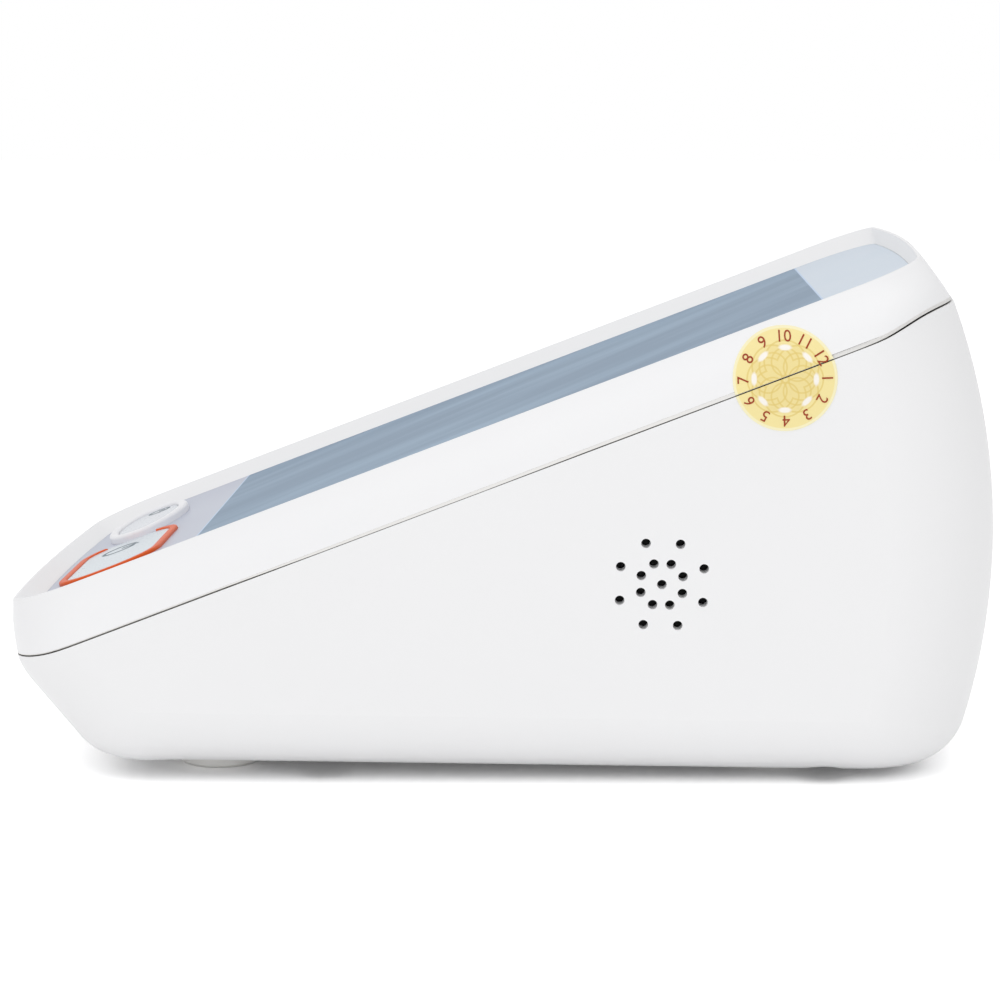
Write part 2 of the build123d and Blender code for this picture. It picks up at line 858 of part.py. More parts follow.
def foot_pair(place):
    """Two round rubber feet, seated in the underside and flat on the table."""
    x, y = place
    seat = underside_height - y * tan(radians(underside_tilt)) + foot_seat
    with BuildPart() as feet:
        with BuildSketch(Plane.XY):
            with Locations((-x, y), (x, y)):
                Circle(foot_radius)
        extrude(amount=seat)
        chamfer(feet.faces().filter_by(Plane.XY).sort_by(Axis.Z)[:2].edges(), length=foot_seat / 2)
    return feet


front_feet = foot_pair(front_foot)
rear_feet = foot_pair(rear_foot)

# Loudspeaker and its foam ring behind the grille
with BuildPart() as speaker_gasket:
    with BuildSketch(speaker_plane.offset(-wall - gasket_thickness)):
        Circle(speaker_radius)
        Circle(speaker_radius - 2 * gasket_thickness, mode=Mode.SUBTRACT)
    extrude(amount=gasket_thickness)

with BuildPart() as speaker_driver:
    rim_back = wall + gasket_thickness + speaker_rim
    with BuildSketch(speaker_plane.offset(-rim_back)):
        Circle(speaker_radius)
    extrude(amount=speaker_rim)
    with BuildSketch(speaker_plane.offset(-rim_back)):
        Circle(speaker_radius - speaker_rim)
    extrude(amount=-speaker_basket, taper=speaker_taper)
    with BuildSketch(speaker_plane.offset(-rim_back - speaker_basket - speaker_magnet)):
        Circle(speaker_magnet_radius)
    extrude(amount=speaker_magnet)


def rod(start, way, radius, length, bore):
    """Round rod or tube from a point along a direction."""
    with BuildPart() as tube:
        with BuildSketch(Plane(origin=start, z_dir=way)):
            Circle(radius)
            if bore:
                Circle(bore, mode=Mode.SUBTRACT)
        extrude(amount=length)
    return tube.part


# Air socket in the left wall, turned about its own axis
jack_mouth = jack_face - jack_proud
jack_end = jack_mouth + jack_bore_length + jack_wall
collar_face = jack_face + wall + 2 * bezel_gap + jack_collar_radius * tan(radians(side_lean))

with BuildPart() as air_jack:
    with BuildSketch(Plane(origin=(jack_mouth, air_y, air_z), z_dir=(1, 0, 0))):
        Circle(jack_flange_radius)
    extrude(amount=collar_face - jack_mouth)
    with BuildSketch(Plane(origin=(collar_face, air_y, air_z), z_dir=(1, 0, 0))):
        Circle(jack_collar_radius)
    extrude(amount=jack_collar)
    with BuildSketch(Plane(origin=(collar_face, air_y, air_z), z_dir=(1, 0, 0))):
        Circle(jack_radius)
    extrude(amount=jack_end - collar_face)
    with BuildSketch(Plane(origin=(jack_mouth, air_y, air_z), z_dir=(1, 0, 0))):
        Circle(jack_bore_radius)
    extrude(amount=jack_bore_length, mode=Mode.SUBTRACT)
    add(rod((jack_end, air_y, air_z), (1, 0, 0), nipple_radius, nipple_length, 0))

# Manifold with a barb each way, and the valve on its right
half_block = manifold_side / 2
sensor_bottom = board_under + sensor_height
riser_top = Vector(manifold_x, air_y, air_z + half_block)
riser_local = crest_plane.to_local_coords(riser_top)
riser = -riser_local.Z - sensor_bottom
riser_barb = riser / 4
hose_lift = hose_radius * slope_rise + bezel_gap

with BuildPart() as air_manifold:
    with Locations((manifold_x, air_y, air_z)):
        Box(manifold_side, manifold_side, manifold_side)
    add(rod((manifold_x - half_block, air_y, air_z), (-1, 0, 0), nipple_radius, nipple_length, 0))
    add(rod((manifold_x, air_y + half_block, air_z), (0, 1, 0), nipple_radius, nipple_length, 0))
    add(rod(riser_top, crest_normal, nipple_radius, riser_barb + hose_lift, 0))
    add(rod(riser_top, crest_normal * -1, nipple_radius, half_block / 2, 0))

valve_start = manifold_x + half_block
valve_end = valve_start + valve_length
with BuildPart() as exhaust_valve:
    add(rod((valve_start, air_y, air_z), (1, 0, 0), valve_radius, valve_length, 0))
    add(rod((valve_end, air_y, air_z), (1, 0, 0), nipple_radius, nipple_length, 0))

# Pump: round motor and square diaphragm head, with a rubber sleeve between the cradles
head_front = pump_y - pump_head_side / 2
motor_start = pump_head_x + pump_head_length / 2
motor_end = motor_start + motor_length

with BuildPart() as pump_head:
    with Locations((pump_head_x, pump_y, pump_z)):
        Box(pump_head_length, pump_head_side, pump_head_side)
    fillet(pump_head.edges().filter_by(Axis.X), radius=pump_head_side / 8)
    add(rod((manifold_x, head_front, air_z), (0, -1, 0), nipple_radius, nipple_length, 0))

with BuildPart() as pump_motor:
    add(rod((motor_start, pump_y, pump_z), (1, 0, 0), motor_radius, motor_length, 0))
    chamfer(pump_motor.faces().sort_by(Axis.X)[-1].edges(), length=motor_radius / 12)
    add(rod((motor_end, pump_y, pump_z), (1, 0, 0), motor_radius / 4, motor_radius / 8, 0))

sleeve_start = (cradle_places[0] + cradle_places[1] - sleeve_length) / 2
with BuildPart() as pump_sleeve:
    add(
        rod(
            (sleeve_start, pump_y, pump_z),
            (1, 0, 0),
            motor_radius + cradle_gap + sleeve_thickness,
            sleeve_length,
            motor_radius + cradle_gap / 2,
        )
    )

# Hoses, each pushed over two barbs
hose_bore = nipple_radius + hose_gap
with BuildPart() as jack_hose:
    run = manifold_x - half_block - jack_end
    add(rod((jack_end, air_y, air_z), (1, 0, 0), hose_radius, run, hose_bore))

with BuildPart() as pump_hose:
    run = head_front - air_y - half_block
    add(rod((manifold_x, air_y + half_block, air_z), (0, 1, 0), hose_radius, run, hose_bore))

with BuildPart() as sensor_hose:
    run = riser - hose_lift
    add(rod(riser_top + crest_normal * hose_lift, crest_normal, hose_radius, run, hose_bore))

with BuildPart() as pressure_sensor:
    with BuildSketch(crest_plane.offset(-sensor_bottom)):
        with Locations((manifold_x, riser_local.Y)):
            RectangleRounded(sensor_side, sensor_side, sensor_side / 12)
    extrude(amount=sensor_height)
    sensor_port = crest_plane.from_local_coords((manifold_x, riser_local.Y, -sensor_bottom))
    add(rod(sensor_port, crest_normal * -1, nipple_radius, riser_barb, 0))

# Power inlet: square body behind the left wall, with a round mouth and a centre pin
inlet_mouth = inlet_face - inlet_proud
inlet_collar_side = inlet_side + 2 * inlet_collar
inlet_lean = inlet_collar_side * tan(radians(side_lean))
inlet_start = Plane(origin=(inlet_mouth, inlet_y, inlet_z), x_dir=(0, 1, 0), z_dir=(1, 0, 0))

with BuildPart() as power_inlet:
    with BuildSketch(inlet_start):
        Rectangle(inlet_side, inlet_side)
    extrude(amount=inlet_length)
    with BuildSketch(inlet_start.offset(inlet_proud + wall + 2 * bezel_gap + inlet_lean)):
        Rectangle(inlet_collar_side, inlet_collar_side)
    extrude(amount=inlet_collar)
    with BuildSketch(inlet_start):
        Circle(inlet_bore_radius)
        Circle(inlet_pin_radius, mode=Mode.SUBTRACT)
    extrude(amount=inlet_bore_length, mode=Mode.SUBTRACT)

os.makedirs("parts", exist_ok=True)
pieces = {
    "upper_cover": upper_cover,
    "lower_case": lower_case,
    "display_window": display_window,
    "start_bezel": start_bezel,
    "memory_bezel": memory_bezel,
    "start_button": start_button,
    "memory_button": memory_button,
    "display_frame": display_frame,
    "display_cell": display_cell,
    "backlight": backlight,
    "main_board": main_board,
    "board_screws": board_screws,
    "start_switch": start_switch,
    "memory_switch": memory_switch,
    "processor_chip": processor_chip,
    "case_screws": case_screws,
    "battery_cells": battery_cells,
    "battery_plates": battery_plates,
    "battery_springs": battery_springs,
    "battery_door": battery_door,
    "front_feet": front_feet,
    "rear_feet": rear_feet,
    "speaker_gasket": speaker_gasket,
    "speaker_driver": speaker_driver,
    "air_jack": air_jack,
    "air_manifold": air_manifold,
    "exhaust_valve": exhaust_valve,
    "pump_head": pump_head,
    "pump_motor": pump_motor,
    "pump_sleeve": pump_sleeve,
    "jack_hose": jack_hose,
    "pump_hose": pump_hose,
    "sensor_hose": sensor_hose,
    "pressure_sensor": pressure_sensor,
    "power_inlet": power_inlet,
}
for name, piece in pieces.items():
    save(piece, name)
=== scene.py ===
import math

import bmesh
import bpy
from mathutils import Matrix, Vector
from mathutils.bvhtree import BVHTree


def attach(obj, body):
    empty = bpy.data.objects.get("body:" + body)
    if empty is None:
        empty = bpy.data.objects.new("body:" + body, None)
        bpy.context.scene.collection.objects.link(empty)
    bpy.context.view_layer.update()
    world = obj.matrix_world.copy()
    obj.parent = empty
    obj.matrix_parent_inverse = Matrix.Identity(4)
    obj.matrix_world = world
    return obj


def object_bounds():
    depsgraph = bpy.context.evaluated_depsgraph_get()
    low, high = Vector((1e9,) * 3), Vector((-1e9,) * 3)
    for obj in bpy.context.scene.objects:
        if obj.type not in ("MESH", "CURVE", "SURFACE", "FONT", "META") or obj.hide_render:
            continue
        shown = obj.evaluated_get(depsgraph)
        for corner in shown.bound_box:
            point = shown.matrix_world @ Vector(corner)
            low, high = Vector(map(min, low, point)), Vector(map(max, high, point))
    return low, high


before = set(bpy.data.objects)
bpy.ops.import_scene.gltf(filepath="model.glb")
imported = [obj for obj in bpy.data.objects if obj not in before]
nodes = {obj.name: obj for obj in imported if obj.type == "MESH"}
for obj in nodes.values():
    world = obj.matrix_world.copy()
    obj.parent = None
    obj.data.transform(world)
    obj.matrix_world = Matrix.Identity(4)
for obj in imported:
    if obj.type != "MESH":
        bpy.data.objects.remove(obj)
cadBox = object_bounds()
mm = 0.001

# The sunk panel lies on a slope: x runs across it, the second number runs up it from the
# middle, and the third stands out from the crest of the rim
slopeAngle = math.radians(21.02)
slopeOrigin = Vector((0, 0, 57.5 * mm))
slopeUp = Vector((0, math.cos(slopeAngle), math.sin(slopeAngle)))
slopeOut = Vector((0, -math.sin(slopeAngle), math.cos(slopeAngle)))


def onSlope(x, along, out):
    return slopeOrigin + (Vector((x, 0, 0)) + slopeUp * along + slopeOut * out) * mm


# sRGB hex to the linear values that a shader takes
def linearColour(hexColour):
    channels = [int(hexColour[i:i + 2], 16) / 255 for i in (1, 3, 5)]
    return [c / 12.92 if c <= 0.04045 else ((c + 0.055) / 1.055) ** 2.4 for c in channels] + [1.0]


# Settings name a property or a socket of the node, and a hex string is a colour.
# Links name a socket and what feeds it
def addNode(tree, kind, settings=None, links=None):
    node = tree.nodes.new(kind)
    for key, value in (settings or {}).items():
        if isinstance(value, str) and value.startswith("#"):
            value = linearColour(value)
        if isinstance(key, str) and hasattr(node, key):
            setattr(node, key, value)
        else:
            node.inputs[key].default_value = value
    for key, source in (links or {}).items():
        tree.links.new(source, node.inputs[key])
    return node


# A new material, its shader's own sockets set, and the object's own coordinates
def startMaterial(name, settings):
    material = bpy.data.materials.new(name)
    material.use_nodes = True
    tree = material.node_tree
    shader = tree.nodes["Principled BSDF"]
    for key, value in settings.items():
        shader.inputs[key].default_value = value
    place = addNode(tree, "ShaderNodeTexCoord").outputs["Object"]
    return material, tree, shader, place


# Moulded plastic or rubber: a fine spark-eroded grain that softens the gloss, and a cloudiness
# of colour that stays just under what the eye names. Narrow joints get painted shade in a brown grey
def moulded(name, finish):
    material, tree, shader, place = startMaterial(name, finish["shader"])
    cloud = addNode(tree, "ShaderNodeTexNoise", {"Scale": 1 / (finish["cloudMm"] * mm), "Detail": 2.0},
                    {"Vector": place})
    colour = addNode(tree, "ShaderNodeMix",
                     {"data_type": "RGBA", 6: finish["colours"][0], 7: finish["colours"][1]},
                     {0: cloud.outputs["Fac"]}).outputs[2]
    # Painted shade: an ambient occlusion mask darkens narrow joints and crevices towards a brown grey
    if "paintedJointShadeColour" in finish:
        shade = addNode(tree, "ShaderNodeAmbientOcclusion",
                        {"samples": 6, "Distance": finish["jointReachMm"] * mm})
        clear = addNode(tree, "ShaderNodeMapRange",
                        {"From Min": finish["jointOpenness"][0], "From Max": finish["jointOpenness"][1]},
                        {"Value": shade.outputs["AO"]})
        colour = addNode(tree, "ShaderNodeMix", {"data_type": "RGBA", 6: finish["paintedJointShadeColour"]},
                         {0: clear.outputs["Result"], 7: colour}).outputs[2]
    tree.links.new(colour, shader.inputs["Base Color"])
    grain = addNode(tree, "ShaderNodeTexNoise", {"Scale": 1 / (finish["grainMm"] * mm), "Detail": 3.0},
                    {"Vector": place})
    spread = addNode(tree, "ShaderNodeMapRange",
                     {"From Min": 0.3, "From Max": 0.7, "To Min": finish["roughness"][0],
                      "To Max": finish["roughness"][1]}, {"Value": grain.outputs["Fac"]})
    tree.links.new(spread.outputs["Result"], shader.inputs["Roughness"])
    bump = addNode(tree, "ShaderNodeBump", {"Strength": finish["bump"], "Distance": finish["depthMm"] * mm},
                   {"Height": grain.outputs["Fac"]})
    tree.links.new(bump.outputs["Normal"], shader.inputs["Normal"])
    return material


print("frame loaded, nodes:", len(nodes))

# White ABS shells, moulded in a fine matt grain: bright, with a broad soft sheen. The grain is
# 0.15 mm on the real one and drawn three times as coarse, so that it shows at all
shellFinish = {
    "shader": {"IOR": 1.53, "Specular IOR Level": 0.4},
    "colours": ("#F0F0F1", "#EDEDEE"),
    "cloudMm": 38.0,
    "grainMm": 0.45,
    "roughness": (0.42, 0.52),
    "bump": 0.12,
    "depthMm": 0.02,
    # Painted shade in the joints, from occlusion within this reach
    "paintedJointShadeColour": "#4E4536",
    "jointReachMm": 1.0,
    "jointOpenness": (0.22, 0.46),
}
# The cover is the same ABS, polished a little further, and coloured a shade lighter than the case: painted
# light for its upward-leaning side
coverFinish = dict(shellFinish, colours=("#F1F1F2", "#EEEEF0"), roughness=(0.38, 0.48))
# The underside's door has the coarser grain of a part that is handled
doorFinish = dict(shellFinish, colours=("#EEEEED", "#EBEBEB"), roughness=(0.46, 0.56), grainMm=0.7)
# The lip in the joint is the case's own ABS, coloured a little darker than the shells, with the occlusion
# distance of its painted joint shade cut to 0.4 mm
lipFinish = dict(shellFinish, colours=("#E9E8E6", "#E3E2DF"), jointReachMm=0.4)

# Orange-dyed ABS rim, moulded with a satin face
orangeFinish = {
    "shader": {"IOR": 1.53, "Specular IOR Level": 0.22},
    "colours": ("#DB5212", "#E35D1A"),
    "cloudMm": 9.0,
    "grainMm": 0.3,
    "roughness": (0.38, 0.46),
    "bump": 0.06,
    "depthMm": 0.01,
}
whiteRimFinish = dict(orangeFinish, colours=("#F2F2F4", "#EDEDF1"))
# Keys: ABS under a pale silver-blue lacquer, smoother than the rims
startKeyFinish = dict(orangeFinish, colours=("#C9D4DC", "#C0CCD6"), roughness=(0.26, 0.34),
                      shader={"IOR": 1.5, "Coat Weight": 0.2, "Coat Roughness": 0.12})
memoryKeyFinish = dict(startKeyFinish, colours=("#D3D7DF", "#CACFD8"))
# Soft thermoplastic rubber feet: matt and pale
footFinish = {
    "shader": {"IOR": 1.5, "Specular IOR Level": 0.3},
    "colours": ("#F6F5F2", "#F0EFEC"),
    "cloudMm": 6.0,
    "grainMm": 0.35,
    "roughness": (0.7, 0.85),
    "bump": 0.25,
    "depthMm": 0.03,
}

materials = {
    "lower_case": moulded("mattAbsCase", shellFinish),
    "upper_cover": moulded("mattAbsCover", coverFinish),
    "battery_door": moulded("mattAbsDoor", doorFinish),
    "start_bezel": moulded("satinOrangeAbs", orangeFinish),
    "memory_bezel": moulded("satinWhiteAbs", whiteRimFinish),
    "start_button": moulded("lacqueredStartKey", startKeyFinish),
    "memory_button": moulded("lacqueredMemoryKey", memoryKeyFinish),
    "front_feet": moulded("paleRubber", footFinish),
}
materials["rear_feet"] = materials["front_feet"]

# Acrylic window, printed from behind in a pale silver at both ends and clear over the liquid
# crystal cell between them. The cell shows as a blue grey under the gloss, with long slanting
# streaks of painted reflection mixed into its colour, and a painted highlight line where the print begins
windowFinish = {
    "displayFront": -54.6,
    "displayRear": 54.8,
    "highlightLineMm": 0.3,
    "edgeMm": 0.08,
    "frontPrint": ("#BEC4D2", "#B5BACB"),
    "rearPrint": ("#C2D2E0", "#CFD8E4"),
    # Painted highlight colour of the thin lines at the cell's ends
    "lineColour": "#B4CBE8",
    "cellColours": ("#456B8C", "#557C9C"),
    "paintedReflectionColour": "#8FB0CA",
    "streakMm": (14.0, 80.0),
    "streakAngle": 24.0,
    "streakStrength": 0.4,
    "streakRange": (0.42, 0.72),
    "shader": {"IOR": 1.49, "Specular IOR Level": 0.1, "Roughness": 0.3},
}


def windowMaterial():
    finish = windowFinish
    material, tree, shader, place = startMaterial("printedAcrylicWindow", finish["shader"])
    run = addNode(tree, "ShaderNodeVectorMath", {"operation": "DOT_PRODUCT", 1: slopeUp / mm}, {0: place})
    along = addNode(tree, "ShaderNodeMath", {"operation": "SUBTRACT", 1: slopeOrigin.dot(slopeUp) / mm},
                    {0: run.outputs["Value"]}).outputs[0]
    across = addNode(tree, "ShaderNodeSeparateXYZ", {}, {0: place}).outputs["X"]
    flat = addNode(tree, "ShaderNodeCombineXYZ", {}, {
        "X": addNode(tree, "ShaderNodeMath", {"operation": "DIVIDE", 1: mm}, {0: across}).outputs[0],
        "Y": along})
    # The painted reflection streaks are noise drawn out along one direction on the panel; the same noise
    # also shifts the cell between its two blue greys
    slanted = addNode(tree, "ShaderNodeMapping",
                      {"vector_type": "TEXTURE", "Rotation": (0, 0, math.radians(finish["streakAngle"])),
                       "Scale": (finish["streakMm"][0], finish["streakMm"][1], 1.0)},
                      {"Vector": flat.outputs[0]})
    streak = addNode(tree, "ShaderNodeTexNoise", {"Scale": 1.0, "Detail": 2.0, "Roughness": 0.5},
                     {"Vector": slanted.outputs["Vector"]})
    paintedReflectionMask = addNode(tree, "ShaderNodeMapRange",
                         {"From Min": finish["streakRange"][0], "From Max": finish["streakRange"][1],
                          "To Max": finish["streakStrength"]},
                         {"Value": streak.outputs["Fac"]})
    cell = addNode(tree, "ShaderNodeMix",
                   {"data_type": "RGBA", 6: finish["cellColours"][0], 7: finish["cellColours"][1]},
                   {0: streak.outputs["Fac"]})
    # Painted reflection: pale streaks mixed into the cell's colour
    cell = addNode(tree, "ShaderNodeMix", {"data_type": "RGBA", 7: finish["paintedReflectionColour"]},
                   {0: paintedReflectionMask.outputs["Result"], 6: cell.outputs[2]})
    # The ink is a little uneven in depth over a few centimetres
    shade = addNode(tree, "ShaderNodeTexNoise", {"Scale": 1 / (30 * mm), "Detail": 1.0}, {"Vector": place})
    prints = [addNode(tree, "ShaderNodeMix", {"data_type": "RGBA", 6: pair[0], 7: pair[1]},
                      {0: shade.outputs["Fac"]}).outputs[2]
              for pair in (finish["frontPrint"], finish["rearPrint"])]
    colour = prints[0]
    # Painted highlight: a thin bright line at each end of the cell, where the print begins
    edges = ((finish["displayFront"] - finish["highlightLineMm"], finish["lineColour"]),
             (finish["displayFront"], cell.outputs[2]),
             (finish["displayRear"], finish["lineColour"]),
             (finish["displayRear"] + finish["highlightLineMm"], prints[1]))
    for edge, beyond in edges:
        past = addNode(tree, "ShaderNodeMapRange",
                       {"From Min": edge - finish["edgeMm"] / 2, "From Max": edge + finish["edgeMm"] / 2},
                       {"Value": along})
        settings, links = {"data_type": "RGBA"}, {0: past.outputs["Result"], 6: colour}
        (settings if isinstance(beyond, str) else links)[7] = beyond
        colour = addNode(tree, "ShaderNodeMix", settings, links).outputs[2]
    tree.links.new(colour, shader.inputs["Base Color"])
    ripple = addNode(tree, "ShaderNodeTexNoise", {"Scale": 1 / (9 * mm), "Detail": 1.0}, {"Vector": place})
    bump = addNode(tree, "ShaderNodeBump", {"Strength": 0.08, "Distance": 0.05 * mm},
                   {"Height": ripple.outputs["Fac"]})
    tree.links.new(bump.outputs["Normal"], shader.inputs["Normal"])
    return material


materials["display_window"] = windowMaterial()

# Inner parts, each by what the real one is made of
innerFinishes = {
    # Black ABS of the socket and the display's frame
    "blackAbs": dict(colours=("#1B1C1E", "#232427"), roughness=(0.4, 0.5),
                     pieces=("power_inlet", "display_frame")),
    # Grey ABS of the air fittings
    "greyAbs": dict(colours=("#8F9498", "#9BA0A4"), roughness=(0.4, 0.5),
                    pieces=("air_jack", "air_manifold")),
    # Glass-filled nylon, slightly fibrous
    "filledNylon": dict(colours=("#D9D4C4", "#CFC9B8"), roughness=(0.5, 0.62), pieces=("pump_head",)),
    # Silicone hose, milky and soft
    "siliconeHose": dict(colours=("#DDE0DE", "#CCD1CF"), roughness=(0.45, 0.55),
                         pieces=("jack_hose", "pump_hose", "sensor_hose")),
    # Black synthetic rubber of the pump's sleeve, and foam of the speaker's ring
    "sleeveRubber": dict(colours=("#2A2A2A", "#343434"), roughness=(0.75, 0.85),
                         pieces=("pump_sleeve", "speaker_gasket")),
    # Pressed paper cone, near black
    "speakerPaper": dict(colours=("#101011", "#1A1A1C"), roughness=(0.7, 0.9), pieces=("speaker_driver",)),
    # Nickel-plated spring steel
    "nickelPlate": dict(colours=("#C9C5BC", "#BDB9B0"), roughness=(0.22, 0.36), metallic=1.0,
                        pieces=("battery_springs", "battery_plates")),
    # Zinc-plated steel, a little duller and bluer
    "zincPlate": dict(colours=("#B9BDC2", "#A7ABB0"), roughness=(0.3, 0.42), metallic=1.0,
                      pieces=("board_screws", "case_screws", "pump_motor", "exhaust_valve")),
    # Moulded epoxy of chips and switches
    "mouldedEpoxy": dict(colours=("#1E1F21", "#28292C"), roughness=(0.55, 0.7),
                         pieces=("processor_chip", "start_switch", "memory_switch")),
    "whiteEpoxy": dict(colours=("#DAD9D4", "#CFCEC8"), roughness=(0.5, 0.65), pieces=("pressure_sensor",)),
    # Float glass of the cell, and the acrylic light guide behind it
    "cellGlass": dict(colours=("#8E9C93", "#98A69D"), roughness=(0.05, 0.1), pieces=("display_cell",)),
    "lightGuide": dict(colours=("#E9EEF2", "#DFE6EC"), roughness=(0.2, 0.3), pieces=("backlight",)),
}
for finishName, finish in innerFinishes.items():
    made = moulded(finishName, {
        "shader": {"Metallic": finish.get("metallic", 0.0)},
        "colours": finish["colours"],
        "cloudMm": 5.0,
        "grainMm": 0.4,
        "roughness": finish["roughness"],
        "bump": 0.15,
        "depthMm": 0.02,
    })
    for piece in finish["pieces"]:
        materials[piece] = made

# Glass-epoxy board under green solder mask, with copper tracks that show as paler lines
boardFinish = {
    "maskColour": "#1C5A38",
    "trackColour": "#2A7148",
    "trackMm": 1.6,
    "shader": {"Roughness": 0.35, "IOR": 1.55},
}


def boardMaterial():
    material, tree, shader, place = startMaterial("solderMaskBoard", boardFinish["shader"])
    tracks = addNode(tree, "ShaderNodeTexBrick",
                     {"Scale": 1 / (boardFinish["trackMm"] * 4 * mm), "Mortar Size": 0.03, "offset": 0.5,
                      "Color1": boardFinish["maskColour"], "Color2": boardFinish["maskColour"],
                      "Mortar": boardFinish["trackColour"]}, {"Vector": place})
    tree.links.new(tracks.outputs["Color"], shader.inputs["Base Color"])
    bump = addNode(tree, "ShaderNodeBump", {"Strength": 0.3, "Distance": 0.035 * mm},
                   {"Height": tracks.outputs["Fac"]})
    tree.links.new(bump.outputs["Normal"], shader.inputs["Normal"])
    return material


materials["main_board"] = boardMaterial()

# Dry cells in a shrunk film sleeve: a dark body with a copper-coloured band at one end
cellFinish = {
    "filmColour": "#23262B",
    "bandColour": "#B9793F",
    "bandStart": 0.012,
    "shader": {"IOR": 1.5, "Coat Weight": 0.3, "Coat Roughness": 0.1},
}


def cellMaterial():
    material, tree, shader, place = startMaterial("shrunkFilmSleeve", cellFinish["shader"])
    apart = addNode(tree, "ShaderNodeSeparateXYZ", {}, {0: place})
    band = addNode(tree, "ShaderNodeMath", {"operation": "GREATER_THAN", 1: cellFinish["bandStart"]},
                   {0: apart.outputs["Y"]})
    colour = addNode(tree, "ShaderNodeMix",
                     {"data_type": "RGBA", 6: cellFinish["filmColour"], 7: cellFinish["bandColour"]},
                     {0: band.outputs[0]})
    tree.links.new(colour.outputs[2], shader.inputs["Base Color"])
    scuff = addNode(tree, "ShaderNodeTexNoise", {"Scale": 1 / (2.5 * mm), "Detail": 3.0}, {"Vector": place})
    spread = addNode(tree, "ShaderNodeMapRange", {"To Min": 0.24, "To Max": 0.4},
                     {"Value": scuff.outputs["Fac"]})
    tree.links.new(spread.outputs["Result"], shader.inputs["Roughness"])
    return material


materials["battery_cells"] = cellMaterial()

for nodeName, node in nodes.items():
    node.data.materials.clear()
    node.data.materials.append(materials[nodeName])
print("materials given to the frame's nodes")


# A mesh in the frame's place, riding on a body
def meshPiece(name, vertices, faces, material, body):
    mesh = bpy.data.meshes.new(name)
    mesh.from_pydata([tuple(v) for v in vertices], [], faces)
    mesh.update()
    piece = bpy.data.objects.new(name, mesh)
    bpy.context.scene.collection.objects.link(piece)
    mesh.materials.append(material)
    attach(piece, body)
    return piece


# Solid strip through a row of cross-sections, each a list of points in the same order
def stripSolid(sections, closed):
    width, count = len(sections[0]), len(sections)
    faces = []
    for i in range(count if closed else count - 1):
        j = (i + 1) % count
        for k in range(width):
            m = (k + 1) % width
            faces.append((i * width + k, i * width + m, j * width + m, j * width + k))
    if not closed:
        faces.append(tuple(range(width))[::-1])
        faces.append(tuple((count - 1) * width + k for k in range(width)))
    return [point for section in sections for point in section], faces


# Signs printed on the keys: the common on-and-off sign, and a small plain clock
signs = {
    "start_sign": {
        "key": "start_button",
        "body": "start_key",
        "center": (6.4, -72.1),
        "radius": 2.95,
        "line": 0.62,
        "gap": 44.0,
        "bar": (0.4, 3.6),
    },
    "memory_sign": {
        "key": "memory_button",
        "body": "memory_key",
        "center": (-32.0, -70.4),
        "radius": 1.9,
        "line": 0.5,
        "gap": 0.0,
        "bar": (-0.1, 1.1),
    },
}
inkThickness = 0.04
arcSteps = 48
inkFinish = {
    "shader": {"IOR": 1.5, "Specular IOR Level": 0.3},
    "colours": ("#66757F", "#5A6972"),
    "cloudMm": 3.0,
    "grainMm": 0.2,
    "roughness": (0.4, 0.5),
    "bump": 0.1,
    "depthMm": 0.01,
}
keyInk = moulded("padPrintInk", inkFinish)


# Cross-section of the ink between two points of a sign, on a key's flat top
def inkSection(sign, keyTop, first, second):
    return [onSlope(sign["center"][0] + x, sign["center"][1] + y, keyTop + out)
            for (x, y), out in ((first, 0), (second, 0), (second, inkThickness), (first, inkThickness))]


for name, sign in signs.items():
    keyTop = max((v.co - slopeOrigin).dot(slopeOut) for v in nodes[sign["key"]].data.vertices) / mm
    halfLine = sign["line"] / 2
    sections = []
    closed = sign["gap"] == 0
    for i in range(arcSteps + (0 if closed else 1)):
        angle = math.radians(90 + sign["gap"] / 2 + (360 - sign["gap"]) * i / arcSteps)
        ray = Vector((math.cos(angle), math.sin(angle)))
        inner, outer = ray * (sign["radius"] - halfLine), ray * (sign["radius"] + halfLine)
        sections.append(inkSection(sign, keyTop, inner, outer))
    vertices, faces = stripSolid(sections, closed)
    bar = [inkSection(sign, keyTop, (halfLine, y), (-halfLine, y)) for y in sign["bar"]]
    barVertices, barFaces = stripSolid(bar, False)
    faces += [[i + len(vertices) for i in face] for face in barFaces]
    meshPiece(name, vertices + barVertices, faces, keyInk, sign["body"])
print("signs printed on the keys")

# Both shells, to be felt for from outside by a ray
shellTrees = []
for shell in ("lower_case", "upper_cover"):
    cadMesh = bmesh.new()
    cadMesh.from_mesh(nodes[shell].data)
    shellTrees.append(BVHTree.FromBMesh(cadMesh))
    cadMesh.free()


# Place and direction of the shells' outer face where a ray first meets it
def firstFace(start, direction):
    hits = [tree.ray_cast(start, direction) for tree in shellTrees]
    place, normal, _, _ = min((hit for hit in hits if hit[0]), key=lambda hit: hit[3])
    return place, normal


# The joint between the shells is a groove. Its edges lie at one height for each y: level at the
# front, up the flank along the crease, then a short bend to a level line round the back
joint = {
    "creaseDepth": 8.7,
    "frontHeight": 19.112,
    "kneeY": 60.0,
    "rearY": 69.0,
    "rearRise": 1.6,
    "bendRadii": (45.0, 20.0, 20.0),
    "grooveFront": 0.35,
    "grooveRear": 0.9,
}


